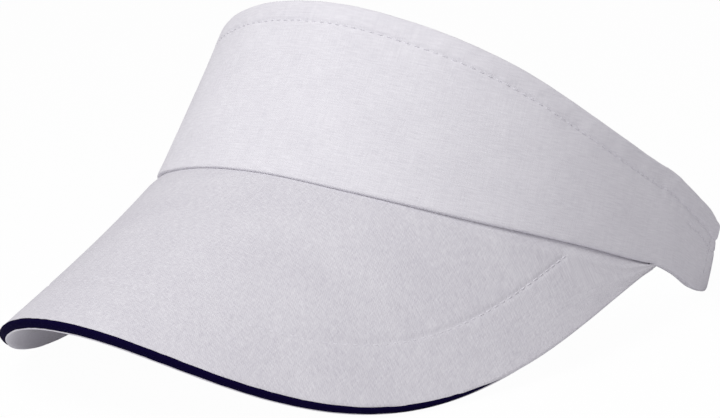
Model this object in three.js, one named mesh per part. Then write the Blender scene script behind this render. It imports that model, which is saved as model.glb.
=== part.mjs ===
// A sun visor for an adult head: a cloth band round an open crown, a stiff arched peak with a
// piped rim, and a hook-and-loop strap behind. Millimetres, +Z up, the front towards -Y and the
// wearer's left towards +X. It rests on the low sides of its peak and the band's rear edge.
// Two surfaces place everything: the band's outer face and the peak's top face. A place on the
// band is a turn round the head from the front, a rise up the band from its lower edge, and a
// depth inwards. A place on the peak is a sweep from side to side, a share of the way from the
// seam to the rim, and a depth downwards.
import * as THREE from 'three';

const radians = THREE.MathUtils.degToRad;

// ---- the band's outer face ----
const headLength = 200; // plan of the band's lower edge, front to back
const headWidth = 166; // and from side to side
const frontSquareness = 2.36; // exponents of the plan curve, where 2 is an ellipse
const rearSquareness = 2.09;
const squareningFrom = radians(75); // the turns between which one exponent becomes the other
const squareningTo = radians(105);
const stations = [0, 25, 50, 75, 92, 100, 108, 119, 134].map(radians); // turns from the front
const edgeHeights = [61.4, 56.2, 45.9, 32.4, 19.44, 12.85, 5.64, 0.1, -0.2]; // its lower edge's heights
const bandHeights = [47.8, 46.7, 42.3, 33.12, 27.25, 25.35, 24.9, 21.8, 19.6]; // from lower edge to top
const bandLean = 0.595; // how far back the band leans for each millimetre of height
const crownTaper = 0.096; // how far in it leans, all round
const frontTaper = 0.039; // and how much more at the front than at the sides
const bandEnd = radians(126); // where the band stops and the strap takes over

// ---- the peak's top face ----
const cornerTurn = radians(92.2); // where the peak's corners meet the band
const peakReach = 73.4; // from the band's front to the middle of the rim
const peakFrontHeight = 29.1; // the height of the middle of the rim
const peakSwell = 17.4; // how far each side of the rim stands out past the corners
const peakArch = 24.1; // how far each side of the rim droops
const sideCurve = 0.896; // exponents that shape the rim's outline from above,
const frontCurve = 1.168;
const crestCurve = 1.215; // and its height along the middle
const rootDrop = 1.3; // the peak starts this far under the band's lower edge
const coverSweep = radians(86); // half the sweep of the covers, of the board and of the piping
const boardSweep = radians(78);
const pipingSweep = radians(84);

// ---- thicknesses and clearances ----
const gap = 0.3; // between pieces that touch
const outerThickness = 0.8;
const stiffenerThickness = 0.6;
const liningThickness = 0.6;
const sweatbandThickness = 1.8;
const tapeThickness = 0.6; // the facing, the seam tape and the label
const coverThickness = 0.7;
const boardThickness = 1.4;
const strapThickness = 1.4;
const patchThickness = 0.9;

// ---- widths ----
const foldSetback = 1; // the lining and facing stop this far short of the band's folds
const stiffenerSetback = 2;
const facingWidth = 9;
const sweatbandRise = 4; // clear of the band's lower edge
const sweatbandHeight = 30; // where the band is tall enough for it
const sweatbandEnd = radians(108);
const stiffenerEnd = radians(117); // short of the ends of the band
const seamTapeRise = 9; // up the band, and out under the peak
const seamTapeReach = 5;
const seamTapeEnd = radians(76); // in sweep
const pipingTongue = 5.5; // how far the piping is sewn in between the covers
const pipingBead = 0.3; // how wide the bead outside them is
const pipingHeight = 2.8;
const labelWidth = 24;
const labelHeight = 11;

// ---- the strap ----
const strapWidth = 18;
const strapRise = 4; // clear of the table
const strapRoot = radians(14); // how much of each strap is sewn inside the band
const hingeClearance = 1.4; // from the band's end to the line that the strap bends on
const strapTip = radians(197); // each strap passes the middle of the back, at 180 degrees
const patchStart = radians(166);
const patchTipSetback = radians(1);
const crossingStart = radians(130); // the inner strap steps inwards between these turns
const crossingEnd = radians(158);

// ---- depths of the layers, outside to inside ----
const stiffenerDepth = outerThickness + gap;
const liningDepth = stiffenerDepth + stiffenerThickness + gap;
const insideDepth = liningDepth + liningThickness + gap;
const sweatbandDepth = insideDepth + tapeThickness + gap;
const hookPatchDepth = insideDepth + strapThickness + gap;
const loopPatchDepth = hookPatchDepth + patchThickness + gap;
const innerStrapDepth = loopPatchDepth + patchThickness + gap;
const boardDepth = coverThickness + gap;
const underCoverDepth = boardDepth + boardThickness + gap;
const peakThickness = underCoverDepth + coverThickness;

// A smooth curve through one value at each station, level at the front and steady past the last.
function alongStations(values, turn) {
  const last = stations.length - 1;
  const angle = Math.min(Math.abs(turn), stations[last]);
  const k = Math.min(stations.findLastIndex((station) => station <= angle), last - 1);
  const slope = (i) => {
    if (i === 0) return 0;
    const next = Math.min(i + 1, last);
    return (values[next] - values[i - 1]) / (stations[next] - stations[i - 1]);
  };
  const span = stations[k + 1] - stations[k];
  const t = (angle - stations[k]) / span;
  return values[k] * (1 + 2 * t) * (1 - t) ** 2 + values[k + 1] * t * t * (3 - 2 * t)
    + span * (slope(k) * t * (1 - t) ** 2 + slope(k + 1) * t * t * (t - 1));
}

const signedPower = (value, power) => Math.sign(value) * Math.abs(value) ** power;

function bandEdge(turn) {
  const rearShare = THREE.MathUtils.smoothstep(Math.abs(turn), squareningFrom, squareningTo);
  const power = 2 / (frontSquareness + (rearSquareness - frontSquareness) * rearShare);
  return new THREE.Vector3(
    (headWidth / 2) * signedPower(Math.sin(turn), power),
    (-headLength / 2) * signedPower(Math.cos(turn), power),
    alongStations(edgeHeights, turn),
  );
}

function bandTop(turn) {
  const top = bandEdge(turn);
  const height = alongStations(bandHeights, turn);
  const outward = new THREE.Vector3(top.x, top.y, 0).normalize();
  top.addScaledVector(outward, -(crownTaper + frontTaper * Math.cos(turn)) * height);
  top.y += bandLean * height;
  top.z += height;
  return top;
}

const bandWidth = (turn) => bandTop(turn).distanceTo(bandEdge(turn));

const bandUp = (turn) => bandTop(turn).sub(bandEdge(turn)).normalize();

function bandAt(turn, rise, depth) {
  const step = 0.02;
  const onFace = (place) => bandEdge(place).addScaledVector(bandUp(place), rise);
  const along = onFace(turn + step).sub(onFace(turn - step));
  const outward = along.cross(bandUp(turn)).normalize();
  return onFace(turn).addScaledVector(outward, -depth);
}

const turnOf = (sweep) => (cornerTurn * sweep) / (Math.PI / 2);

const peakRoot = (sweep) => bandAt(turnOf(sweep), -rootDrop * Math.sqrt(Math.cos(sweep)), 0);

function peakRim(sweep) {
  const corner = bandEdge(cornerTurn);
  const middle = Math.cos(sweep);
  const droop = Math.sin(2 * sweep);
  const front = -headLength / 2 - peakReach;
  return new THREE.Vector3(
    corner.x * signedPower(Math.sin(sweep), sideCurve) + peakSwell * droop,
    corner.y + (front - corner.y) * middle ** frontCurve,
    corner.z + (peakFrontHeight - corner.z) * middle ** crestCurve - peakArch * droop ** 2,
  );
}

function peakAt(sweep, share, depth) {
  const step = 0.02;
  const onFace = (place) => peakRoot(place).lerp(peakRim(place), share);
  const across = onFace(sweep + step).sub(onFace(sweep - step));
  const down = across.cross(peakRim(sweep).sub(peakRoot(sweep))).normalize();
  return onFace(sweep).addScaledVector(down, depth);
}

// Directions at the rim: out of the peak, square to the rim, and down through its thickness, with
// the peak's reach measured square to the rim.
function rimFrame(sweep) {
  const step = 0.02;
  const rim = peakRim(sweep);
  const tangent = peakRim(sweep + step).sub(peakRim(sweep - step)).normalize();
  const ruling = rim.clone().sub(peakRoot(sweep));
  const out = ruling.clone().addScaledVector(tangent, -ruling.dot(tangent));
  const reach = out.length();
  out.normalize();
  const down = tangent.clone().cross(out).normalize();
  return { rim, out, down, reach };
}

const shareFromRim = (sweep, inset) => 1 - inset / rimFrame(sweep).reach;
const shareFromRoot = (sweep, length) => length / peakRim(sweep).distanceTo(peakRoot(sweep));
const tongueAt = (sweep) => Math.min(pipingTongue, 0.6 * rimFrame(sweep).reach);

const steps = (from, to, count) => Array.from({ length: count + 1 }, (_, i) => (
  from + ((to - from) * i) / count
));

// A closed body between two faces, each a list of columns of points.
function slab(front, back) {
  const rows = front[0].length;
  const right = front.length - 1;
  const top = rows - 1;
  const points = [...front.flat(), ...back.flat()];
  const at = (column, row, side) => (side * (right + 1) + column) * rows + row;
  const faces = [];
  const quad = (a, b, c, d) => faces.push([a, b, c], [a, c, d]);
  for (let i = 0; i < right; i += 1) {
    for (let j = 0; j < top; j += 1) {
      quad(at(i, j, 0), at(i + 1, j, 0), at(i + 1, j + 1, 0), at(i, j + 1, 0));
      quad(at(i + 1, j + 1, 1), at(i + 1, j, 1), at(i, j, 1), at(i, j + 1, 1));
    }
    quad(at(i, 0, 0), at(i, 0, 1), at(i + 1, 0, 1), at(i + 1, 0, 0));
    quad(at(i, top, 0), at(i + 1, top, 0), at(i + 1, top, 1), at(i, top, 1));
  }
  for (let j = 0; j < top; j += 1) {
    quad(at(0, j, 0), at(0, j + 1, 0), at(0, j + 1, 1), at(0, j, 1));
    quad(at(right, j, 0), at(right, j, 1), at(right, j + 1, 1), at(right, j + 1, 0));
  }
  const volume = faces.reduce((sum, [a, b, c]) => (
    sum + points[a].dot(points[b].clone().cross(points[c]))
  ), 0);
  if (volume < 0) faces.forEach((face) => face.reverse());
  const geometry = new THREE.BufferGeometry().setFromPoints(points);
  geometry.setIndex(faces.flat());
  geometry.computeVertexNormals();
  return geometry;
}

// A layer of the band between two turns. Its low and high edges and its near depth may each
// change round the head.
function bandLayer({ from, to, low, high, near, thickness, columns = 45, rows = 2 }) {
  const face = (extra) => steps(from, to, columns).map((turn) => (
    steps(low(turn), high(turn), rows).map((rise) => bandAt(turn, rise, near(turn) + extra))
  ));
  return slab(face(0), face(thickness));
}

function peakLayer({ sweep, low, high, depth, thickness }) {
  const face = (level) => steps(-sweep, sweep, 45).map((place) => (
    steps(low(place), high(place), 3).map((share) => peakAt(place, share, level))
  ));
  return slab(face(depth), face(depth + thickness));
}

// ---- the band ----
const bandOuter = () => bandLayer({
  from: -bandEnd,
  to: bandEnd,
  low: () => 0,
  high: bandWidth,
  near: () => 0,
  thickness: outerThickness,
});

const bandStiffener = () => bandLayer({
  from: -stiffenerEnd,
  to: stiffenerEnd,
  low: () => stiffenerSetback,
  high: (turn) => bandWidth(turn) - stiffenerSetback,
  near: () => stiffenerDepth,
  thickness: stiffenerThickness,
});

const bandLining = () => bandLayer({
  from: -bandEnd,
  to: bandEnd,
  low: () => foldSetback,
  high: (turn) => bandWidth(turn) - foldSetback,
  near: () => liningDepth,
  thickness: liningThickness,
});

const facingFoot = (turn) => bandWidth(turn) - foldSetback - facingWidth;

// Behind, the facing stops where the sewn ends of the strap begin.
const topFacing = () => bandLayer({
  from: strapRoot - bandEnd + radians(1),
  to: bandEnd - strapRoot - radians(1),
  low: facingFoot,
  high: (turn) => facingFoot(turn) + facingWidth,
  near: () => insideDepth,
  thickness: tapeThickness,
});

const sweatband = () => bandLayer({
  from: -sweatbandEnd,
  to: sweatbandEnd,
  low: () => sweatbandRise,
  high: (turn) => Math.min(sweatbandHeight, facingFoot(turn) - 3),
  near: () => sweatbandDepth,
  thickness: sweatbandThickness,
});

// The tape lies on the band's inside, turns at the seam and runs on under the peak.
function seamTape() {
  const column = (sweep, extra) => [
    bandAt(turnOf(sweep), seamTapeRise, insideDepth + extra),
    bandAt(turnOf(sweep), gap, insideDepth + extra),
    peakAt(sweep, shareFromRoot(sweep, gap), peakThickness + gap + extra),
    peakAt(sweep, shareFromRoot(sweep, seamTapeReach), peakThickness + gap + extra),
  ];
  const face = (extra) => steps(-seamTapeEnd, seamTapeEnd, 37).map((sweep) => column(sweep, extra));
  return slab(face(0), face(tapeThickness));
}

// The label stands on the lining over the sweatband, at the middle of the front.
function sizeLabel() {
  const halfTurn = Math.asin((labelWidth / headWidth) ** (frontSquareness / 2));
  return bandLayer({
    from: -halfTurn,
    to: halfTurn,
    low: () => sweatbandHeight + 2,
    high: () => sweatbandHeight + 2 + labelHeight,
    near: () => insideDepth,
    thickness: tapeThickness,
    columns: 5,
    rows: 1,
  });
}

// ---- the peak ----
const peakCover = (depth) => peakLayer({
  sweep: coverSweep,
  low: () => 0,
  high: () => 1,
  depth,
  thickness: coverThickness,
});

const peakBoard = () => peakLayer({
  sweep: boardSweep,
  low: (sweep) => shareFromRoot(sweep, gap),
  high: (sweep) => shareFromRim(sweep, tongueAt(sweep) + gap),
  depth: boardDepth,
  thickness: boardThickness,
});

// The piping has a flat tongue between the covers and a round bead outside them.
function peakPiping() {
  const middle = peakThickness / 2;
  const half = pipingHeight / 2;
  const column = (sweep, side) => {
    const { rim, out, down } = rimFrame(sweep);
    const place = (outwards, height) => rim.clone()
      .addScaledVector(out, outwards)
      .addScaledVector(down, middle + side * height);
    return [
      place(-tongueAt(sweep), boardThickness / 2),
      place(0, boardThickness / 2),
      place(gap, half * 0.8),
      place(gap + pipingBead * 0.25, half),
      place(gap + pipingBead * 0.7, half * 0.8),
      place(gap + pipingBead, half * 0.3),
    ];
  };
  const face = (side) => steps(-pipingSweep, pipingSweep, 45).map((sweep) => column(sweep, side));
  return slab(face(-1), face(1));
}

// ---- the strap: side is 1 for the wearer's left and -1 for the right ----
const hingeTurn = bandEnd + hingeClearance / bandEdge(bandEnd).length();

function strapPiece(side, from, to, near, thickness, inset = 0) {
  const [start, end] = side > 0 ? [from, to] : [-to, -from];
  return bandLayer({
    from: start,
    to: end,
    low: () => strapRise + inset,
    high: () => strapRise + strapWidth - inset,
    near,
    thickness,
    columns: Math.ceil(Math.abs(to - from) / radians(4)),
    rows: 1,
  });
}

const hookStrapDepth = () => insideDepth;

function loopStrapDepth(turn) {
  const share = THREE.MathUtils.smoothstep(Math.abs(turn), crossingStart, crossingEnd);
  return insideDepth + (innerStrapDepth - insideDepth) * share;
}

const strapRootPiece = (side) => (
  strapPiece(side, bandEnd - strapRoot, bandEnd, hookStrapDepth, strapThickness)
);

const strap = (side, depth) => strapPiece(side, hingeTurn, strapTip, depth, strapThickness);

const patch = (side, depth) => (
  strapPiece(side, patchStart, strapTip - patchTipSetback, () => depth, patchThickness, 1)
);

// ---- the pieces, by name, with their finish ----
const finish = (color, roughness) => new THREE.MeshStandardMaterial({ color, roughness });
const whiteTwill = finish(0xeeedf2, 0.9);
const navyTwill = finish(0x0c0629, 0.85);
const paleCloth = finish(0xe6e4e6, 0.95);
const boardPlastic = finish(0xd9d9d4, 0.5);
const webbing = finish(0xe9e8ec, 0.85);
const fastener = finish(0xe2e1e4, 0.95);

const pieces = [
  ['band_outer', bandOuter(), whiteTwill],
  ['band_stiffener', bandStiffener(), paleCloth],
  ['band_lining', bandLining(), whiteTwill],
  ['top_facing', topFacing(), whiteTwill],
  ['sweatband', sweatband(), paleCloth],
  ['seam_tape', seamTape(), whiteTwill],
  ['size_label', sizeLabel(), paleCloth],
  ['peak_top_cover', peakCover(0), whiteTwill],
  ['peak_board', peakBoard(), boardPlastic],
  ['peak_under_cover', peakCover(underCoverDepth), whiteTwill],
  ['peak_piping', peakPiping(), navyTwill],
  ['hook_strap_root', strapRootPiece(-1), webbing],
  ['loop_strap_root', strapRootPiece(1), webbing],
  ['hook_strap', strap(-1, hookStrapDepth), webbing],
  ['hook_patch', patch(-1, hookPatchDepth), fastener],
  ['loop_strap', strap(1, loopStrapDepth), webbing],
  ['loop_patch', patch(1, loopPatchDepth), fastener],
];

const visor = new THREE.Group();
pieces.forEach(([name, geometry, material]) => {
  const mesh = new THREE.Mesh(geometry, material);
  mesh.name = name;
  visor.add(mesh);
});

// The origin is on the table, under the middle of the whole visor.
const box = new THREE.Box3().setFromObject(visor, true);
const centre = box.getCenter(new THREE.Vector3());
visor.position.set(-centre.x, -centre.y, -box.min.z);

export default visor;
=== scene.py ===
# Sun visor: cloth, piping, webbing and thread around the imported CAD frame.
# The dictionaries and the shape functions are in millimetres, and meshes are made in metres.
import math

import bpy
import numpy as np
from mathutils import Matrix, Vector


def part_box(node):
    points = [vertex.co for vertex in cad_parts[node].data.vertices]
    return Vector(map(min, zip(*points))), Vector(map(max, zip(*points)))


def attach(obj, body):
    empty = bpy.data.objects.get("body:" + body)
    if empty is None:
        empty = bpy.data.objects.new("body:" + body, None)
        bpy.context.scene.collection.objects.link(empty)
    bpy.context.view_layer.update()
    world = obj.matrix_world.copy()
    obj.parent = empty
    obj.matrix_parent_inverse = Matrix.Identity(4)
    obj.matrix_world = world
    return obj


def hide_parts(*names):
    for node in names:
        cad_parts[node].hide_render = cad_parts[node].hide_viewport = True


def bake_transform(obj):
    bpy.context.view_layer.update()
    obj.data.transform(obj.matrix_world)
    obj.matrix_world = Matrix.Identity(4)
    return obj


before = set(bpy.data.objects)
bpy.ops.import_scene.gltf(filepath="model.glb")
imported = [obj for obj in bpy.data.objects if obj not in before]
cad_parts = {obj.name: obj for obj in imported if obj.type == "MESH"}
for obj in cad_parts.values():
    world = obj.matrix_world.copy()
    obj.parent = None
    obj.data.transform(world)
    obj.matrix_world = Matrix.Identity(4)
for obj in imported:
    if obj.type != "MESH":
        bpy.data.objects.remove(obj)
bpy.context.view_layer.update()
print("frame loaded:", len(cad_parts), "CAD nodes")


# The band's outer face and the peak's top face, as in the CAD model.
# A place on the band is a turn round the head from the front, a rise up from the lower edge and
# a depth inwards. A place on the peak is a sweep from side to side, a share of the way from the
# seam to the rim, and a depth downwards.
bandForm = {
    "length": 200,
    "width": 166,
    "frontSquareness": 2.36,
    "rearSquareness": 2.09,
    "squareningTurns": (75, 105),
    "stations": [0, 25, 50, 75, 92, 100, 108, 119, 134],
    "edgeHeights": [61.4, 56.2, 45.9, 32.4, 19.44, 12.85, 5.64, 0.1, -0.2],
    "heights": [47.8, 46.7, 42.3, 33.12, 27.25, 25.35, 24.9, 21.8, 19.6],
    "lean": 0.595,
    "crownTaper": 0.096,
    "frontTaper": 0.039,
    "end": 126,
}
peakForm = {
    "cornerTurn": 92.2,
    "reach": 73.4,
    "frontHeight": 29.1,
    "swell": 17.4,
    "arch": 24.1,
    "sideCurve": 0.896,
    "frontCurve": 1.168,
    "crestCurve": 1.215,
    "rootDrop": 1.3,
    "thickness": 3.4,
}
bandEnd = math.radians(bandForm["end"])


def unit(vectors):
    return vectors / np.linalg.norm(vectors, axis=-1, keepdims=True)


def signedPower(value, power):
    return np.sign(value) * np.abs(value) ** power


def easeBetween(value, low, high):
    t = np.clip((value - low) / (high - low), 0, 1)
    return t * t * (3 - 2 * t)


# The same for an angle on either side, between two angles in degrees.
def easeRound(angle, low, high):
    return easeBetween(np.degrees(np.abs(angle)), low, high)


# A value given at the band's stations, smooth between them.
def alongStations(values, turn):
    stations = np.radians(bandForm["stations"])
    values = np.array(values, float)
    slopes = np.zeros(len(values))
    slopes[1:-1] = (values[2:] - values[:-2]) / (stations[2:] - stations[:-2])
    slopes[-1] = (values[-1] - values[-2]) / (stations[-1] - stations[-2])
    angle = np.minimum(np.abs(turn), stations[-1])
    k = np.clip(np.searchsorted(stations, angle, side="right") - 1, 0, len(values) - 2)
    span = stations[k + 1] - stations[k]
    t = (angle - stations[k]) / span
    ends = values[k] * (1 + 2 * t) * (1 - t) ** 2 + values[k + 1] * t * t * (3 - 2 * t)
    bends = slopes[k] * t * (1 - t) ** 2 + slopes[k + 1] * t * t * (t - 1)
    return ends + span * bends


def bandEdge(turn):
    turn = np.asarray(turn, float)
    rearShare = easeRound(turn, *bandForm["squareningTurns"])
    front, rear = bandForm["frontSquareness"], bandForm["rearSquareness"]
    power = 2 / (front + (rear - front) * rearShare)
    x = bandForm["width"] / 2 * signedPower(np.sin(turn), power)
    y = -bandForm["length"] / 2 * signedPower(np.cos(turn), power)
    return np.stack([x, y, alongStations(bandForm["edgeHeights"], turn)], axis=-1)


def bandTop(turn):
    top = bandEdge(turn)
    height = alongStations(bandForm["heights"], turn)
    taper = (bandForm["crownTaper"] + bandForm["frontTaper"] * np.cos(turn)) * height
    top[..., :2] -= unit(top[..., :2]) * taper[..., None]
    top[..., 1] += bandForm["lean"] * height
    top[..., 2] += height
    return top


def bandUp(turn):
    return unit(bandTop(turn) - bandEdge(turn))


def bandWidth(turn):
    return np.linalg.norm(bandTop(turn) - bandEdge(turn), axis=-1)


def bandAt(turn, rise, depth):
    turn, rise, depth = np.broadcast_arrays(turn, rise, depth)
    rise = rise[..., None]
    ahead = bandEdge(turn + 0.02) + bandUp(turn + 0.02) * rise
    behind = bandEdge(turn - 0.02) + bandUp(turn - 0.02) * rise
    up = bandUp(turn)
    outward = unit(np.cross(ahead - behind, up))
    return bandEdge(turn) + up * rise - outward * depth[..., None]


def turnOf(sweep):
    return np.radians(peakForm["cornerTurn"]) * sweep / (math.pi / 2)


def peakRoot(sweep):
    drop = peakForm["rootDrop"] * np.sqrt(np.maximum(np.cos(sweep), 0))
    return bandAt(turnOf(sweep), -drop, 0.0)


def peakRim(sweep):
    corner = bandEdge(math.radians(peakForm["cornerTurn"]))
    middle = np.maximum(np.cos(sweep), 0)
    droop = np.sin(2 * sweep)
    front = -bandForm["length"] / 2 - peakForm["reach"]
    x = corner[0] * signedPower(np.sin(sweep), peakForm["sideCurve"]) + peakForm["swell"] * droop
    y = corner[1] + (front - corner[1]) * middle ** peakForm["frontCurve"]
    crest = (peakForm["frontHeight"] - corner[2]) * middle ** peakForm["crestCurve"]
    return np.stack([x, y, corner[2] + crest - peakForm["arch"] * droop**2], axis=-1)


def peakAt(sweep, share, depth):
    sweep, share, depth = np.broadcast_arrays(sweep, share, depth)

    def onFace(place):
        root = peakRoot(place)
        return root + (peakRim(place) - root) * share[..., None]

    across = onFace(sweep + 0.02) - onFace(sweep - 0.02)
    down = unit(np.cross(across, peakRim(sweep) - peakRoot(sweep)))
    return onFace(sweep) + down * depth[..., None]


# Directions at the rim: out of the peak and down through it, and the peak's reach square to it.
def rimFrame(sweep):
    rim = peakRim(sweep)
    tangent = unit(peakRim(sweep + 0.02) - peakRim(sweep - 0.02))
    ruling = rim - peakRoot(sweep)
    out = ruling - tangent * np.sum(ruling * tangent, axis=-1, keepdims=True)
    reach = np.linalg.norm(out, axis=-1)
    out = unit(out)
    return rim, out, unit(np.cross(tangent, out)), reach


# The CAD model's origin is under the middle of its box, which places both faces in the frame.
cadTurns = np.radians(np.linspace(-bandForm["end"], bandForm["end"], 46))
bandLow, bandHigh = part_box("band_outer")
frameShift = np.array([
    0.0,
    bandLow.y * 1000 - bandEdge(cadTurns)[:, 1].min(),
    bandHigh.z * 1000 - bandTop(cadTurns)[:, 2].max(),
])
print("faces shifted by", np.round(frameShift, 3), "mm")


def inFrame(points):
    return (np.asarray(points) + frameShift) / 1000


def runningLength(points):
    steps = np.linalg.norm(np.diff(points, axis=0), axis=1)
    return np.concatenate([[0.0], np.cumsum(steps)])


# Places from low to high, as far from each other along the line that they make.
def evenPlaces(line, low, high, count):
    fine = np.linspace(low, high, 3000)
    length = runningLength(line(fine))
    return np.interp(np.linspace(0, length[-1], count), length, fine)


# Smooth unevenness along a length, between -1 and 1, the same at each run.
def unevenness(length, period, seed):
    knots = np.random.default_rng(seed).uniform(-1, 1, 2048)
    place = np.asarray(length) / period + 1024
    k = np.floor(place).astype(int)
    t = place - k
    t = t * t * (3 - 2 * t)
    return knots[k] * (1 - t) + knots[k + 1] * t


# A socket that takes part in Python sums.
class Socket:
    def __init__(self, finish, output):
        self.finish = finish
        self.output = output

    def maths(self, operation, *values):
        sockets = dict(enumerate(values))
        return self.finish.node("ShaderNodeMath", {"operation": operation}, sockets)

    def __add__(self, other):
        return self.maths("ADD", self, other)

    def __radd__(self, other):
        return self.maths("ADD", other, self)

    def __sub__(self, other):
        return self.maths("SUBTRACT", self, other)

    def __rsub__(self, other):
        return self.maths("SUBTRACT", other, self)

    def __mul__(self, other):
        return self.maths("MULTIPLY", self, other)

    def __rmul__(self, other):
        return self.maths("MULTIPLY", other, self)

    def wave(self):
        return self.maths("SINE", self) * 0.5 + 0.5


class Finish:
    def __init__(self, name, sheen=0.0, specular=0.3):
        self.material = bpy.data.materials.new(name)
        self.material.use_nodes = True
        self.tree = self.material.node_tree
        self.shader = self.tree.nodes["Principled BSDF"]
        self.shader.inputs["Specular IOR Level"].default_value = specular
        self.shader.inputs["Sheen Weight"].default_value = sheen
        self.shader.inputs["Sheen Roughness"].default_value = 0.5

    def node(self, kind, settings, sockets, output=0):
        made = self.tree.nodes.new(kind)
        for setting, value in settings.items():
            setattr(made, setting, value)
        for socket, value in sockets.items():
            if isinstance(value, Socket):
                self.tree.links.new(value.output, made.inputs[socket])
            else:
                made.inputs[socket].default_value = value
        return Socket(self, made.outputs[output])

    def connect(self, socket, value):
        self.tree.links.new(value.output, self.shader.inputs[socket])

    def noise(self, place, stretch, detail=2.0, rough=0.5):
        scaled = self.node(
            "ShaderNodeVectorMath", {"operation": "MULTIPLY"}, {0: place, 1: stretch}
        )
        sockets = {"Vector": scaled, "Scale": 1.0, "Detail": detail, "Roughness": rough}
        return self.node("ShaderNodeTexNoise", {}, sockets)

    def blended(self, share, first, second):
        settings = {"data_type": "RGBA", "clamp_factor": True}
        return self.node("ShaderNodeMix", settings, {0: share, 6: first, 7: second}, 2)

    def relief(self, height):
        sockets = {"Strength": 1.0, "Distance": 0.001, "Height": height}
        self.connect("Normal", self.node("ShaderNodeBump", {}, sockets))


def tint(red, green, blue):
    straight = []
    for part in (red, green, blue):
        share = part / 255
        straight.append(share / 12.92 if share <= 0.04045 else ((share + 0.055) / 1.055) ** 2.4)
    return (*straight, 1.0)


# Woven cloth: twill ribs, threads that run uneven along the cloth, and a soft mottle.
def wovenFinish(name, look):
    finish = Finish(name, sheen=look["sheen"], specular=look["specular"])
    cloth = finish.node("ShaderNodeUVMap", {"uv_map": "cloth"}, {})
    place = finish.node("ShaderNodeVectorMath", {"operation": "SCALE"}, {0: cloth, "Scale": 1000.0})
    along = finish.node("ShaderNodeSeparateXYZ", {}, {0: place}, "X")
    up = finish.node("ShaderNodeSeparateXYZ", {}, {0: place}, "Y")
    turns = 2 * math.pi / look["pitch"]
    rib = ((along * look["slant"] + up) * turns).wave()
    thread = ((along - up * look["slant"]) * (turns * 1.6)).wave()
    slub = finish.noise(place, (1 / look["slubLength"], 1 / look["slubWidth"], 0.0), 2.5, 0.6)
    cross = finish.noise(place, (1 / look["slubWidth"], 0.6 / look["slubLength"], 0.0), 1.5)
    nap = finish.noise(place, (look["napScale"], look["napScale"], 0.0), 3.0, 0.65)
    mottle = finish.noise(place, (0.05, 0.07, 0.0), 2.0)
    shade = (slub - 0.5) * look["slubShade"] + (cross - 0.5) * (look["slubShade"] * 0.5)
    # The rib valleys are painted darker, on top of the bump that sinks them: painted shade in the
    # weave's grooves.
    shade = shade + (mottle - 0.5) * look["mottle"] + (1 - rib) * look["ribShade"] + 0.32
    colour = finish.blended(shade, tint(*look["light"]), tint(*look["dark"]))
    finish.connect("Base Color", colour)
    finish.connect("Roughness", look["rough"] + (nap - 0.5) * 0.15)
    height = rib * look["ribHeight"] + thread * (look["ribHeight"] * 0.5)
    height = height + slub * look["slubHeight"] + cross * (look["slubHeight"] * 0.5)
    finish.relief(height + nap * look["napHeight"])
    return finish.material


# The twill that the band is cut from. The other cloths say what is different in theirs.
plainTwill = {
    "light": (241, 240, 244),
    "dark": (208, 206, 213),
    "pitch": 0.62,
    "slant": 0.55,
    "slubLength": 5.0,
    "slubWidth": 0.42,
    "slubShade": 0.9,
    "slubHeight": 0.06,
    "mottle": 0.35,
    "ribShade": 0.12,
    "ribHeight": 0.02,
    "napScale": 3.2,
    "napHeight": 0.03,
    "sheen": 0.12,
    "specular": 0.15,
    "rough": 0.9,
}
bandTwill = wovenFinish("bandTwill", plainTwill)
# The peak's top cover is the band's white twill with darker light and dark tones: painted shade
# over the whole peak.
peakTwill = wovenFinish("peakTwill", plainTwill | {
    "light": (231, 230, 234),
    "dark": (196, 193, 202),
    "slubLength": 1.9,
    "slubWidth": 0.4,
    "slubShade": 1.25,
    "slubHeight": 0.11,
    "mottle": 0.4,
    "ribShade": 0.1,
    "ribHeight": 0.03,
    "napScale": 2.6,
    "napHeight": 0.06,
})
# The peak's under cover is the band's white twill with lighter tones: painted light on the shaded
# underside, standing in for light from the floor.
underTwill = wovenFinish("underTwill", plainTwill | {
    "light": (246, 245, 249),
    "dark": (218, 216, 223),
    "slubLength": 2.4,
    "slubShade": 0.8,
    "slubHeight": 0.05,
    "mottle": 0.3,
    "ribHeight": 0.025,
    "napScale": 2.6,
    "sheen": 0.1,
    "rough": 0.92,
})
liningCloth = wovenFinish("liningCloth", plainTwill | {
    "light": (238, 237, 240),
    "dark": (210, 208, 214),
    "pitch": 0.5,
    "slant": 0.02,
    "slubLength": 3.2,
    "slubWidth": 0.35,
    "slubShade": 0.7,
    "slubHeight": 0.04,
    "mottle": 0.25,
    "ribShade": 0.15,
    "ribHeight": 0.03,
    "napScale": 3.0,
    "napHeight": 0.02,
    "sheen": 0.08,
    "rough": 0.92,
})
tapeTwill = wovenFinish("tapeTwill", plainTwill | {
    "light": (239, 238, 242),
    "dark": (201, 199, 208),
    "pitch": 0.9,
    "slant": 1.0,
    "slubLength": 2.6,
    "slubWidth": 0.4,
    "slubShade": 0.5,
    "slubHeight": 0.03,
    "mottle": 0.2,
    "ribShade": 0.35,
    "ribHeight": 0.08,
    "napScale": 3.0,
    "napHeight": 0.02,
    "sheen": 0.08,
    "specular": 0.2,
    "rough": 0.85,
})
navyTwill = wovenFinish("navyTwill", plainTwill | {
    "light": (17, 9, 52),
    "dark": (6, 2, 34),
    "pitch": 0.7,
    "slant": 0.9,
    "slubLength": 1.6,
    "slubWidth": 0.4,
    "slubHeight": 0.04,
    "mottle": 0.3,
    "ribShade": 0.3,
    "ribHeight": 0.05,
    "napScale": 3.0,
    "sheen": 0.0,
    "specular": 0.03,
    "rough": 0.95,
})
strapWebbing = wovenFinish("strapWebbing", plainTwill | {
    "light": (238, 237, 241),
    "dark": (198, 196, 205),
    "pitch": 1.5,
    "slant": 0.0,
    "slubLength": 1.2,
    "slubWidth": 0.5,
    "slubShade": 0.5,
    "mottle": 0.2,
    "ribShade": 0.3,
    "ribHeight": 0.12,
    "napScale": 2.2,
    "napHeight": 0.02,
    "sheen": 0.05,
    "specular": 0.25,
    "rough": 0.8,
})


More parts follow.
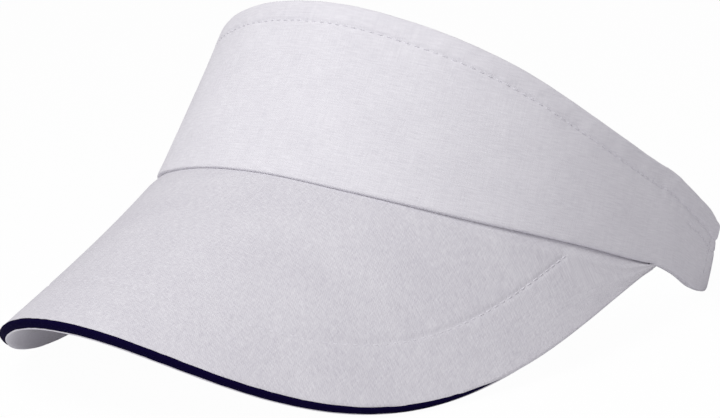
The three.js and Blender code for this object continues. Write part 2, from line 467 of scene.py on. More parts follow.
# Fibres with no weave to see: towelling, tape backs and nap.
def fibreFinish(name, look):
    finish = Finish(name, sheen=look["sheen"], specular=look["specular"])
    cloth = finish.node("ShaderNodeUVMap", {"uv_map": "cloth"}, {})
    place = finish.node("ShaderNodeVectorMath", {"operation": "SCALE"}, {0: cloth, "Scale": 1000.0})
    sockets = {"Vector": place, "Scale": look["loopScale"], "Randomness": 0.8}
    loop = finish.node("ShaderNodeTexVoronoi", {}, sockets)
    fuzz = finish.noise(place, (look["fuzzScale"], look["fuzzScale"], 0.0), 3.0, 0.7)
    mottle = finish.noise(place, (0.08, 0.08, 0.0), 2.0)
    # Colour darkens towards the loops' borders, where the relief is lowest: painted shade between
    # the loops.
    shade = loop * look["loopShade"] + (fuzz - 0.5) * 0.4 + (mottle - 0.5) * 0.3
    finish.connect("Base Color", finish.blended(shade, tint(*look["light"]), tint(*look["dark"])))
    finish.connect("Roughness", look["rough"] + (fuzz - 0.5) * 0.1)
    finish.relief((1 - loop) * look["loopHeight"] + fuzz * look["fuzzHeight"])
    return finish.material


towelling = fibreFinish("towelling", {
    "light": (241, 240, 243),
    "dark": (196, 194, 202),
    "loopScale": 1.15,
    "loopShade": 0.75,
    "loopHeight": 0.35,
    "fuzzScale": 3.5,
    "fuzzHeight": 0.08,
    "sheen": 0.2,
    "specular": 0.1,
    "rough": 0.95,
})
hookTape = fibreFinish("hookTape", {
    "light": (236, 236, 239),
    "dark": (196, 195, 201),
    "loopScale": 0.9,
    "loopShade": 0.5,
    "loopHeight": 0.1,
    "fuzzScale": 2.5,
    "fuzzHeight": 0.05,
    "sheen": 0.0,
    "specular": 0.35,
    "rough": 0.55,
})
loopTape = fibreFinish("loopTape", {
    "light": (240, 239, 242),
    "dark": (200, 198, 206),
    "loopScale": 1.6,
    "loopShade": 0.6,
    "loopHeight": 0.15,
    "fuzzScale": 4.0,
    "fuzzHeight": 0.12,
    "sheen": 0.15,
    "specular": 0.15,
    "rough": 0.92,
})


# Spun thread, and smooth things whose pattern is placed by Object coordinates.
def plainFinish(name, look):
    finish = Finish(name, sheen=look["sheen"], specular=look["specular"])
    place = finish.node("ShaderNodeTexCoord", {}, {}, "Object")
    scale = look["scale"] * 1000
    grain = finish.noise(place, (scale, scale, scale), 3.0, 0.6)
    blotch = finish.noise(place, (scale * 0.1, scale * 0.1, scale * 0.1), 2.0)
    shade = (grain - 0.5) * look["grainShade"] + (blotch - 0.5) * look["blotchShade"] + 0.4
    finish.connect("Base Color", finish.blended(shade, tint(*look["light"]), tint(*look["dark"])))
    finish.connect("Roughness", look["rough"] + (grain - 0.5) * 0.2)
    finish.relief(grain * look["grainHeight"])
    return finish.material


whiteThread = plainFinish("whiteThread", {
    "light": (238, 237, 241),
    "dark": (208, 206, 214),
    "scale": 4.0,
    "grainShade": 0.7,
    "blotchShade": 0.4,
    "grainHeight": 0.05,
    "sheen": 0.1,
    "specular": 0.3,
    "rough": 0.7,
})
boardPlastic = plainFinish("boardPlastic", {
    "light": (222, 222, 216),
    "dark": (205, 205, 198),
    "scale": 1.2,
    "grainShade": 0.5,
    "blotchShade": 0.5,
    "grainHeight": 0.04,
    "sheen": 0.0,
    "specular": 0.4,
    "rough": 0.5,
})
satin = plainFinish("satin", {
    "light": (244, 243, 246),
    "dark": (222, 221, 228),
    "scale": 2.5,
    "grainShade": 0.5,
    "blotchShade": 0.3,
    "grainHeight": 0.02,
    "sheen": 0.1,
    "specular": 0.5,
    "rough": 0.4,
})


# Buckram is an open square weave stiffened with size.
def buckramFinish():
    finish = Finish("buckram", specular=0.3)
    place = finish.node("ShaderNodeTexCoord", {}, {}, "Object")
    across = finish.node("ShaderNodeSeparateXYZ", {}, {0: place}, "X") * 4000
    up = finish.node("ShaderNodeSeparateXYZ", {}, {0: place}, "Z") * 4000
    mesh = across.wave() * up.wave()
    finish.connect("Base Color", finish.blended(mesh, tint(214, 212, 206), tint(238, 237, 233)))
    finish.connect("Roughness", 0.75 + mesh * 0.15)
    finish.relief(mesh * 0.15)
    return finish.material


buckram = buckramFinish()
print("finishes made")


# Ready for a new piece: object mode, with nothing selected.
def startPiece():
    if bpy.context.mode != "OBJECT":
        bpy.ops.object.mode_set(mode="OBJECT")
    bpy.ops.object.select_all(action="DESELECT")


def applied(piece, kind, **settings):
    bpy.context.view_layer.objects.active = piece
    modifier = piece.modifiers.new(kind.lower(), kind)
    for setting, value in settings.items():
        setattr(modifier, setting, value)
    bpy.ops.object.modifier_apply(modifier=modifier.name)


# Names a finished mesh, gives it its finish and rides it on its body.
def finishPiece(piece, name, finish, body, replaces=()):
    startPiece()
    piece.name = name
    piece.data.name = name
    piece.data.materials.clear()
    piece.data.materials.append(finish)
    piece.select_set(True)
    bpy.context.view_layer.objects.active = piece
    bpy.ops.object.shade_smooth_by_angle(angle=math.radians(50))
    if replaces:
        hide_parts(*replaces)
    if body:
        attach(piece, body)
    return piece


# A grid laid on rows of points, low row first, with the cloth's own lengths as its UV map.
def clothGrid(points, cloth):
    rows, columns = points.shape[:2]
    startPiece()
    bpy.ops.mesh.primitive_grid_add(x_subdivisions=columns - 1, y_subdivisions=rows - 1, size=1)
    piece = bpy.context.object
    mesh = piece.data
    mesh.vertices.foreach_set("co", inFrame(points).astype(np.float32).ravel())
    if not mesh.uv_layers:
        mesh.uv_layers.new()
    layer = mesh.uv_layers[0]
    layer.name = "cloth"
    corners = np.zeros(len(mesh.loops), np.int32)
    mesh.loops.foreach_get("vertex_index", corners)
    flat = (np.asarray(cloth).reshape(-1, 2) / 1000)[corners]
    layer.data.foreach_set("uv", flat.astype(np.float32).ravel())
    mesh.update()
    return piece


def clothPiece(name, points, cloth, thickness, finish, body, replaces=(), edge=0.2):
    piece = clothGrid(points, cloth)
    applied(piece, "SOLIDIFY", thickness=thickness / 1000, offset=-1)
    if edge:
        applied(
            piece, "BEVEL", width=edge / 1000, segments=2, limit_method="ANGLE",
            angle_limit=math.radians(60), loop_slide=False,
        )
    return finishPiece(piece, name, finish, body, replaces)


# Lengths along each row and up each column, as a pattern cutter would lay the cloth flat.
def flatLengths(points, row):
    columns = points.shape[1]
    along = runningLength(points[row])
    along = along - along[columns // 2]
    up = runningLength(points[:, columns // 2])
    return np.stack(np.broadcast_arrays(along[None, :], up[:, None]), axis=-1)


# The outer cloth of the band.
bandCloth = {
    "thickness": 0.75,
    "foldRadius": 1.3,
    "foldSquareness": 0.6,
    "seamSquareness": 0.4,
    "standProud": 0.25,
    "turnIn": 4.5,
    "hemWidth": 7.0,
    "secondRow": 11.0,
    "secondRowStart": 99.0,
    "rowEnd": 121.5,
    "lowCorner": (5.5, 5.5),
    "highCorner": (12.0, 5.0),
    "groove": 0.34,
    "pucker": 0.2,
    "columns": 430,
    "boxStart": 113.2,
    "boxEnd": 120.0,
    "boxLow": 5.6,
    "boxBelowTop": 8.0,
}


# Length along a line from its middle to a place, where limit is the place of the line's end.
def lengthFromMiddle(line, place, limit):
    fine = np.linspace(-limit, limit, 4000)
    length = runningLength(line(fine))
    return np.interp(place, fine, length - np.interp(0.0, fine, length))


def bandLength(turn):
    return lengthFromMiddle(lambda t: bandAt(t, bandWidth(t) / 2, 0.0), turn, math.pi * 1.2)


# How deep the sewn outer face lies: rows of stitches draw it in and it puckers beside them.
def bandRelief(turn, rise):
    form = bandCloth
    along = bandLength(turn)
    below = bandWidth(turn) - rise
    fromHem = below - form["hemWidth"]
    depth = form["groove"] * np.exp(-((fromHem / 0.7) ** 2))
    depth = depth - 0.2 * easeBetween(fromHem, 0.6, -1.5) * easeBetween(below, 0.0, 1.5)
    near = np.exp(-((fromHem / 2.4) ** 2))
    depth = depth + form["pucker"] * unevenness(along, 3.1, 3) * near
    strip = easeBetween(fromHem, 0.5, -1.0)
    depth = depth + 0.12 * unevenness(along + below * 0.8, 3.7, 5) * strip
    rear = easeRound(turn, form["secondRowStart"] - 1, form["secondRowStart"] + 1)
    second = below - form["secondRow"]
    depth = depth + rear * form["groove"] * 0.8 * np.exp(-((second / 0.7) ** 2))
    depth = depth + rear * 0.1 * unevenness(along, 3.3, 9) * np.exp(-((second / 2.0) ** 2))
    inner = easeBetween(rise, 0, 6) * easeBetween(below, 8, 16)
    depth = depth + 0.22 * inner * unevenness(along + rise * 0.4, 37.0, 11)
    return depth + 0.1 * inner * unevenness(along - rise * 0.7, 14.0, 13)


def lengthToEnd(turn):
    return (bandEnd - np.abs(turn)) * np.linalg.norm(bandEdge(turn), axis=-1)


# How much the band's rounded ends take off one of its edges.
def endTrim(turn, length, drop):
    within = np.clip(1 - lengthToEnd(turn) / length, 0, 1)
    return drop * (1 - np.sqrt(1 - within**2))


# The band's cloth turns in over both edges. Its section runs from inside the lower edge, round
# the fold, up the face, over the top and down inside.
def bandSection(turn):
    form = bandCloth
    radius = form["foldRadius"]
    low = endTrim(turn, *form["lowCorner"])
    high = bandWidth(turn) + form["standProud"] - endTrim(turn, *form["highCorner"])
    closing = np.clip(radius - lengthToEnd(turn), 0, radius) / radius
    half = radius * np.sqrt(np.maximum(1 - closing**2, 0.0025))
    face = (high - low) - 2 * radius
    rise = []
    depth = []
    for s in np.linspace(1, 0, 4):
        rise.append(low + radius + (form["turnIn"] - radius) * s)
        depth.append(radius + half)
    angles = np.linspace(0, math.pi, 10)[1:-1]
    for angle in angles:
        rise.append(low + radius - radius * np.sin(angle) ** form["seamSquareness"])
        depth.append(radius + half * signedPower(np.cos(angle), form["seamSquareness"]))
    split = 1 - np.minimum(13.0 / np.maximum(face, 15), 0.8)
    for s in np.linspace(0, 1, 28):
        rise.append(low + radius + face * split * s)
        depth.append(radius - half)
    for s in np.linspace(0, 1, 30)[1:]:
        rise.append(low + radius + face * (split + (1 - split) * s))
        depth.append(radius - half)
    for angle in angles[::-1]:
        rise.append(high - radius + radius * np.sin(angle) ** form["foldSquareness"])
        depth.append(radius + half * signedPower(np.cos(angle), form["foldSquareness"]))
    for s in np.linspace(0, 1, 4):
        rise.append(high - radius - (form["turnIn"] - radius) * s)
        depth.append(radius + half)
    return np.array(rise), np.array(depth), half / radius


def makeBandCloth():
    def upperLine(turn):
        return bandAt(turn, bandWidth(turn) * 0.6, 0.0)

    turn = evenPlaces(upperLine, -bandEnd, bandEnd, bandCloth["columns"])
    crowd = np.radians(np.array([0.03, 0.08, 0.18, 0.34, 0.55]))
    turn = np.sort(np.concatenate([turn, -bandEnd + crowd, bandEnd - crowd]))
    rise, depth, fullness = bandSection(turn)
    radius = bandCloth["foldRadius"]
    onFace = 1 - easeBetween(depth, 0.0, radius)
    relief = bandRelief(turn[None, :] + 0 * rise, rise) * onFace * fullness[None, :]
    points = bandAt(turn[None, :] + 0 * rise, rise, depth + relief)
    along = bandLength(turn)
    cloth = np.stack([along[None, :] + 0 * rise, rise], axis=-1)
    return clothPiece(
        "band_cloth", points, cloth, bandCloth["thickness"], bandTwill, "visor",
        ["band_outer"], edge=0.15,
    )


makeBandCloth()
print("band cloth made")


# A flat layer of the band between two turns, in degrees.
def bandLayer(name, form, low, high, finish, body, replaces, relief=None):
    start, end = np.radians(form["from"]), np.radians(form["to"])
    turn = evenPlaces(lambda t: bandAt(t, 10.0, form["depth"]), start, end, form["columns"])
    share = np.linspace(0, 1, form["rows"])[:, None]
    rise = low(turn)[None, :] + (high(turn) - low(turn))[None, :] * share
    place = turn[None, :] + 0 * rise
    depth = form["depth"] + form["thickness"] + 0 * rise
    if relief:
        depth = depth + relief(place, rise, share)
    points = bandAt(place, rise, depth)[:, ::-1]
    along = bandLength(turn)[None, ::-1] + 0 * rise
    cloth = np.stack([along, rise[:, ::-1]], axis=-1)
    return clothPiece(
        name, points, cloth, form["thickness"], finish, body, replaces, form.get("edge", 0.15)
    )


lining = {
    "from": -125.9,
    "to": 125.9,
    "depth": 2.0,
    "thickness": 0.6,
    "columns": 260,
    "rows": 20,
    "setback": 5.2,
}


def liningRelief(turn, rise, share):
    along = bandLength(turn)
    return 0.12 * unevenness(along + rise, 21.0, 21) * np.sin(math.pi * share)


bandLayer(
    "band_lining_cloth", lining,
    lambda turn: lining["setback"] + endTrim(turn, *bandCloth["lowCorner"]),
    lambda turn: bandWidth(turn) - lining["setback"] - endTrim(turn, *bandCloth["highCorner"]),
    liningCloth, "visor", ["band_lining"], liningRelief,
)

facing = {
    "from": -111.0,
    "to": 111.0,
    "depth": 2.9,
    "thickness": 0.6,
    "columns": 330,
    "rows": 12,
    "width": 9.0,
    "setback": 1.0,
    "row": 7.0,
    "rowDepth": 3.36,
    "rowEnd": 110.2,
}


def facingRelief(turn, rise, share):
    along = bandLength(turn)
    edge = np.abs(share - 0.5) * 2
    return 0.1 * unevenness(along, 3.4, 31) * edge - 0.12 * np.exp(-(((share - 0.33) / 0.08) ** 2))


bandLayer(
    "top_facing_tape", facing,
    lambda turn: bandWidth(turn) - facing["setback"] - facing["width"],
    lambda turn: bandWidth(turn) - facing["setback"],
    tapeTwill, "visor", ["top_facing"], facingRelief,
)

sweatForm = {
    "from": -108.0,
    "to": 108.0,
    "depth": 3.8,
    "thickness": 1.8,
    "columns": 400,
    "rows": 34,
    "low": 4.0,
    "height": 30.0,
    "belowTop": 13.0,
    "edge": 0.45,
    "row": 2.5,
    "rowDepth": 4.95,
    "rowEnd": 107.0,
}


def sweatHigh(turn):
    return np.minimum(sweatForm["height"], bandWidth(turn) - sweatForm["belowTop"])


# Towelling is a rough pile, pressed down where it is sewn near its top.
def sweatRelief(turn, rise, share):
    random = np.random.default_rng(41)
    pile = random.uniform(-0.22, 0.22, turn.shape)
    along = bandLength(turn)
    sewn = np.exp(-(((sweatHigh(turn) - rise - sweatForm["row"]) / 0.8) ** 2))
    soft = 0.25 * unevenness(along + rise * 0.5, 16.0, 43) * np.sin(math.pi * share)
    return pile * (1 - sewn) * np.sin(math.pi * np.clip(share, 0.02, 0.98)) + soft - 0.7 * sewn


bandLayer(
    "sweatband_towelling", sweatForm,
    lambda turn: sweatForm["low"] + 0 * turn, sweatHigh,
    towelling, "visor", ["sweatband"], sweatRelief,
)

label = {
    "from": -10.7,
    "to": 10.7,
    "depth": 2.9,
    "thickness": 0.6,
    "columns": 30,
    "rows": 14,
    "low": 32.0,
    "high": 43.0,
    "edge": 0.2,
    "rowTurn": 10.0,
    "rowLow": 33.0,
    "rowHigh": 42.2,
    "rowDepth": 3.55,
}


def labelRelief(turn, rise, share):
    along = bandLength(turn)
    return 0.3 * easeBetween(share, 0.75, 0.0) * (0.6 + 0.4 * unevenness(along, 9.0, 51))


bandLayer(
    "blank_label", label,
    lambda turn: label["low"] + 0 * turn,
    lambda turn: label["high"] + 0 * turn,
    satin, "visor", ["size_label"], labelRelief,
)
print("inside layers made")

# The two covers of the peak.
peakCloth = {
    "thickness": 0.7,
    "sweep": 89.0,
    "columns": 330,
    "rows": 84,
    "rootRows": 14,
    "rootBend": 4.0,
    "tightSeam": (10.0, 55.0),
    "stitchInset": 20.0,
    "rowSweep": 80.0,
    "rowLeast": 3.0,
    "groove": 0.32,
    "tipStart": 80.0,
    "tipShare": 0.42,
    "underDepth": 2.9,
    "underRows": 60,
    "underShift": 300,
    "rimRound": 0.55,
    "rimSetback": 0.9,
}

# The piping in the rim of the peak.
piping = {
    "sweep": 88.0,
    "columns": 420,
    "tongue": 5.2,
    "tongueHalf": 0.6,
    "root": 0.75,
    "bead": 0.15,
    "beadHalf": 1.58,
    "sideBead": -0.55,
    "sideHalf": 1.1,
    "sideTurns": (46.0, 64.0),
    "wrinkle": 0.04,
}


# The peak thins towards its two corners, where it runs in under the band.
def tipThinning(sweep):
    reached = easeRound(sweep, peakCloth["tipStart"], 90.0)
    return 1 - (1 - peakCloth["tipShare"]) * reached


# How deep a cover lies an inset from the rim, at a length along it.
def peakRelief(inset, along):
    form = peakCloth
    fromRow = inset - form["stitchInset"]
    depth = form["groove"] * np.exp(-((fromRow / 0.75) ** 2))
    depth = depth + 0.12 * unevenness(along, 3.2, 61) * np.exp(-((fromRow / 2.6) ** 2))
    depth = depth + 0.05 * unevenness(along, 4.1, 63) * np.exp(-((inset / 4.0) ** 2))
    swell = easeBetween(inset, 2.0, 12.0)
    return depth + 0.16 * swell * unevenness(along + inset * 0.6, 27.0, 65)


def sideLength(sweep):
    return lengthFromMiddle(peakRim, sweep, math.pi / 2)


# How far the cover's face turns away at its rim.
def rimRounding(inset):
    edge = np.clip(1 - inset / peakCloth["rimRound"], 0, 1)
    return peakCloth["rimRound"] * (1 - np.sqrt(1 - 0.98 * edge**2)) * 0.8


def topRelief(sweep, inset):
    return peakRelief(inset, sideLength(sweep))


def underRelief(sweep, inset):
    return peakRelief(inset, sideLength(sweep) + peakCloth["underShift"])


# Side-to-side length over the arch and place from front to back, for the weave's direction.
def peakFlat(points):
    middle = points.shape[1] // 2
    steps = np.hypot(np.diff(points[:, :, 0], axis=1), np.diff(points[:, :, 2], axis=1))
    along = np.concatenate([np.zeros((len(points), 1)), np.cumsum(steps, axis=1)], axis=1)
    return np.stack([along - along[:, middle:middle + 1], points[:, :, 1]], axis=-1)


# The top cover stops short of the rim in front, behind the bead, and reaches it at the sides.
def toRim(sweep, reach):
    toSide = easeRound(sweep, *piping["sideTurns"])
    return peakCloth["rimSetback"] * (1 - toSide) / reach


def makePeakTop():
    form = peakCloth
    limit = math.radians(form["sweep"])
    sweep = evenPlaces(peakRim, -limit, limit, form["columns"])
    reach = rimFrame(sweep)[3]
    ruling = np.linalg.norm(peakRim(sweep) - peakRoot(sweep), axis=-1)
    bend = np.minimum(form["rootBend"], 0.45 * ruling) / ruling
    rows = []
    for s in np.linspace(0, 1, form["rows"] - form["rootRows"]):
        share = 1 - (1 - bend) * s ** 0.92
        share = np.minimum(share, 1 - toRim(sweep, reach) * (1 - s))
        inset = (1 - share) * reach - toRim(sweep, reach) * reach * (1 - s)
        depth = topRelief(sweep, inset) * (reach > 6)
        rows.append(peakAt(sweep, share, depth + rimRounding(inset)))
    drop = peakForm["rootDrop"] * np.sqrt(np.cos(sweep))
    inFront = 1 - easeRound(sweep, *form["tightSeam"])
    top = bandAt(turnOf(sweep), 0.3 * inFront - 0.02, 1.5 - 0.2 * inFront)
    corner = bandAt(turnOf(sweep), -drop * (1 - 0.8 * inFront), 1.0 - 0.45 * inFront)
    foot = rows[-1]
    for s in np.linspace(0, 1, form["rootRows"] + 1)[1:]:
        rows.append(foot * (1 - s) ** 2 + corner * 2 * s * (1 - s) + top * s**2)
    points = np.array(rows)
    return clothPiece(
        "peak_top_cloth", points, peakFlat(points), form["thickness"], peakTwill, "visor",
        ["peak_top_cover"], edge=0.2,
    )


def makePeakUnder():
    form = peakCloth
    limit = math.radians(form["sweep"] - 0.4)
    sweep = evenPlaces(peakRim, -limit, limit, form["columns"])
    reach = rimFrame(sweep)[3]
    level = (form["underDepth"] + form["thickness"]) * tipThinning(sweep)
    rows = []
    for s in np.linspace(0, 1, form["underRows"]):
        share = 0.004 + 0.996 * s
        inset = (1 - share) * reach
        depth = level - underRelief(sweep, inset) * (reach > 6)
        rows.append(peakAt(sweep, share, depth - rimRounding(inset)))
    points = np.array(rows)
    return clothPiece(
        "peak_under_cloth", points, peakFlat(points), form["thickness"], underTwill, "visor",
        ["peak_under_cover"], edge=0.2,
    )


makePeakTop()
makePeakUnder()
print("peak cloths made")


# A cord wrapped in bias cloth: a flat tongue that is sewn in and a round bead outside it.
def makePiping():
    form = piping
    limit = math.radians(form["sweep"])
    sweep = evenPlaces(peakRim, -limit, limit, form["columns"])
    rim, out, down, reach = rimFrame(sweep)
    thin = tipThinning(sweep)
    tongue = np.minimum(form["tongue"], 0.55 * reach)
    along = sideLength(sweep)
    toSide = easeRound(sweep, *form["sideTurns"])
    bulge = form["bead"] + (form["sideBead"] - form["bead"]) * toSide
    half = form["beadHalf"] + (form["sideHalf"] - form["beadHalf"]) * toSide
    flat = form["tongueHalf"] + 0 * sweep
    sewn = (-tongue, -0.5 * tongue, -2.2 + 0 * sweep)
    below = [(place, -flat) for place in sewn]
    above = [(place, flat) for place in sewn]
    bead = []
    for angle in np.radians(np.linspace(-115, 115, 17)):
        wrinkle = 1 + form["wrinkle"] * unevenness(along + angle * 1.5, 2.3, 71)
        outwards = (bulge + form["root"]) * signedPower(np.cos(angle), 0.7) * wrinkle - form["root"]
        bead.append((outwards, half * np.sin(angle) * wrinkle))
    rows = []
    for outwards, height in below + bead + above[::-1]:
        level = (peakForm["thickness"] / 2 - 0.1) * thin + height * thin
        rows.append(rim + out * outwards[:, None] + down * level[:, None])
    rows.append(rows[0])
    points = np.array(rows)
    piece = clothGrid(points, flatLengths(points, len(points) // 2))
    bpy.ops.object.mode_set(mode="EDIT")
    bpy.ops.mesh.select_all(action="SELECT")
    bpy.ops.mesh.remove_doubles(threshold=0.00001)
    bpy.ops.mesh.select_all(action="DESELECT")
    bpy.ops.mesh.select_non_manifold(extend=False)
    bpy.ops.mesh.edge_face_add()
    bpy.ops.mesh.select_all(action="SELECT")
    bpy.ops.mesh.normals_make_consistent(inside=False)
    bpy.ops.object.mode_set(mode="OBJECT")
    return finishPiece(
        piece, "piping_bead", navyTwill, "visor", ["peak_piping"]
    )


makePiping()
print("piping made")

seamTape = {
    "end": 76.0,
    "rise": 9.0,
    "reach": 5.0,
    "depth": 2.9,
    "thickness": 0.6,
    "columns": 260,
}


# The tape lies on the band's inside, turns at the seam and runs on under the peak.
def makeSeamTape():
    form = seamTape
    limit = math.radians(form["end"])
    sweep = np.linspace(-limit, limit, form["columns"])[::-1]
    turn = turnOf(sweep)
    ruling = np.linalg.norm(peakRim(sweep) - peakRoot(sweep), axis=-1)
    level = peakForm["thickness"] + 0.3 + form["thickness"]
    inside = form["depth"] + form["thickness"]
    rows = []
    for length in np.linspace(form["reach"], 0.3, 7):
        rows.append(peakAt(sweep, length / ruling, level + 0 * sweep))
    for rise in np.linspace(0.3, form["rise"], 12):
        rows.append(bandAt(turn, rise + 0 * sweep, inside + 0 * sweep))
    points = np.array(rows)
    return clothPiece(
        "seam_tape_cloth", points, flatLengths(points, -3), form["thickness"], tapeTwill, "visor",
        ["seam_tape"], edge=0.12,
    )


makeSeamTape()
print("seam tape made")


# A rod from -0.5 to 0.5 along X with a ring of points at each cut, for shapes that repeat.
def rodShape(sides, cuts):
    startPiece()
    bpy.ops.mesh.primitive_cylinder_add(vertices=sides, radius=1, depth=1, end_fill_type="NGON")
    rod = bpy.context.object
    mesh = rod.data
    for edge in mesh.edges:
        first, second = (mesh.vertices[k].co for k in edge.vertices)
        edge.select = abs(first.z - second.z) > 0.5
    for part in (*mesh.vertices, *mesh.polygons):
        part.select = False
    bpy.context.tool_settings.mesh_select_mode = (False, True, False)
    bpy.ops.object.mode_set(mode="EDIT")
    bpy.ops.mesh.subdivide(number_cuts=cuts)
    bpy.ops.object.mode_set(mode="OBJECT")
    places = np.array([(v.co.z, v.co.x, v.co.y) for v in mesh.vertices])
    faces = [list(polygon.vertices) for polygon in mesh.polygons]
    bpy.data.objects.remove(rod)
    bpy.data.meshes.remove(mesh)
    return places, faces


# Copies of one shape as a single mesh. Each copy has its points in the frame already.
def copiesPiece(name, copies, faces, finish, body):
    count, size = copies.shape[:2]
    everyFace = [[k + size * n for k in face] for n in range(count) for face in faces]
    mesh = bpy.data.meshes.new(name)
    mesh.from_pydata(inFrame(copies).reshape(-1, 3).tolist(), [], everyFace)
    piece = bpy.data.objects.new(name, mesh)
    bpy.context.scene.collection.objects.link(piece)
    return finishPiece(piece, name, finish, body)


stitch = {
    "length": 2.5,
    "pitch": 3.0,
    "radius": 0.21,
    "twists": 1.4,
    "lift": 0.13,
    "dip": 0.4,
    "sides": 8,
    "cuts": 5,
}


# Two plies twisted together, high in the middle and drawn down into the cloth at both ends.
def stitchShape():
    places, faces = rodShape(stitch["sides"], stitch["cuts"])
    along = places[:, 0]
    angle = np.arctan2(places[:, 2], places[:, 1])
    twist = along * stitch["twists"] * 2 * math.pi
    radius = stitch["radius"] * (1 + 0.2 * np.cos(2 * (angle - twist)))
    radius = radius * (1 - 0.45 * np.abs(2 * along) ** 3)
    height = stitch["lift"] - stitch["dip"] * np.abs(2 * along) ** 3
    return np.stack([
        along * stitch["length"],
        radius * np.cos(angle),
        height + radius * np.sin(angle) * 0.85,
    ], axis=-1), faces


stitchPoints, stitchFaces = stitchShape()


# A row of stitches along a line, with the direction out of the cloth at each of its points.
def stitchRow(name, lines, body="visor"):
    copies = []
    for line, outward in lines:
        length = runningLength(line)
        count = max(int(length[-1] / stitch["pitch"]), 1)
        middles = (np.arange(count) + 0.5) * length[-1] / count
        ahead = np.gradient(line, length, axis=0)

        def along(values, places):
            parts = [np.interp(places, length, values[:, k]) for k in range(3)]
            return np.stack(parts, axis=-1)

        places = middles[:, None] + stitchPoints[None, :, 0]
        out = unit(along(outward, places))
        side = unit(np.cross(out, along(ahead, places)))
        shift = side * stitchPoints[None, :, 1, None] + out * stitchPoints[None, :, 2, None]
        copies.append(along(line, places) + shift)
    return copiesPiece(name, np.concatenate(copies), stitchFaces, whiteThread, body)


# A line over the band with its outward directions, facing in instead where side is -1.
def bandLine(turn, rise, depth, side=1):
    turn, rise, depth = (np.array(x, float) for x in np.broadcast_arrays(turn, rise, depth))
    line = bandAt(turn, rise, depth)
    return line, unit(line - bandAt(turn, rise, depth + 1.0)) * side


def reliefLine(turn, rise):
    turn, rise = (np.array(x, float) for x in np.broadcast_arrays(turn, rise))
    return bandLine(turn, rise, bandRelief(turn, rise))


def spread(low, high, count=400):
    return np.radians(np.linspace(low, high, count))


# A row that runs up the band at one turn, in degrees.
def upright(place, low, high, count=60):
    return spread(place, place, count), np.linspace(low, high, count)


def inwardRow(name, form, high):
    turn = spread(-form["rowEnd"], form["rowEnd"], 1200)
    stitchRow(name, [bandLine(turn, high(turn) - form["row"], form["rowDepth"], -1)])


hemTurn = spread(-bandCloth["rowEnd"], bandCloth["rowEnd"], 1200)
stitchRow("hem_stitches", [reliefLine(hemTurn, bandWidth(hemTurn) - bandCloth["hemWidth"])])
rearLines = []
for side in (-1, 1):
    turn = spread((bandCloth["secondRowStart"] + 0.5) * side, bandCloth["rowEnd"] * side)
    rearLines.append(reliefLine(turn, bandWidth(turn) - bandCloth["secondRow"]))
    for place in (bandCloth["boxStart"], bandCloth["boxEnd"]):
        top = bandWidth(np.radians(place * side)) - bandCloth["boxBelowTop"]
        rearLines.append(reliefLine(*upright(place * side, bandCloth["boxLow"], top)))
stitchRow("rear_stitches", rearLines)
inwardRow("facing_stitches", facing, bandWidth)
inwardRow("sweatband_stitches", sweatForm, sweatHigh)
labelLines = []
for side in (-1, 1):
    row = upright(label["rowTurn"] * side, label["rowLow"], label["rowHigh"], 20)
    labelLines.append(bandLine(*row, label["rowDepth"], -1))
stitchRow("label_stitches", labelLines)


def peakRowLines():
    form = peakCloth
    sweep = spread(-form["rowSweep"], form["rowSweep"], 1500)
    reach = rimFrame(sweep)[3]
    kept = reach > form["stitchInset"] + form["rowLeast"]
    sweep, reach = sweep[kept], reach[kept]
    share = 1 - form["stitchInset"] / reach
    inset = form["stitchInset"] + 0 * sweep
    over = topRelief(sweep, inset)
    under = form["underDepth"] + form["thickness"] - underRelief(sweep, inset)
    topLine = peakAt(sweep, share, over)
    lowLine = peakAt(sweep, share, under)
    up = unit(peakAt(sweep, share, over - 1.0) - topLine)
    return (topLine, up), (lowLine, -up)


overRow, underRow = peakRowLines()
stitchRow("peak_stitches", [overRow])
stitchRow("peak_under_stitches", [underRow])
print("stitches made")

# The strap ends, which lap over each other behind the head.
strap = {
    "start": 112.2,
    "tip": 197.0,
    "low": 4.0,
    "width": 18.0,
    "depth": 2.9,
    "innerDepth": 7.0,
    "crossing": (130.0, 158.0),
    "rootRow": (5.6, 20.4),
    "thickness": 1.4,
    "tipCorner": 4.5,
    "tipShare": 0.88,
    "lengthPerTurn": 97,
    "crowd": 1.4 / 88,
    "selvedge": 1.2,
    "ribPitch": 1.9,
    "columns": 200,
    "rows": 17,
    "hinge": 1.4,
    "bendBefore": 1.3,
    "bendAfter": 2.8,
    "patchStart": 166.0,
    "patchEnd": 196.0,
    "patchInset": 1.0,
}


def strapDepth(turn, side):
    inward = easeRound(turn, *strap["crossing"]) if side > 0 else 0 * turn
    return strap["depth"] + (strap["innerDepth"] - strap["depth"]) * inward
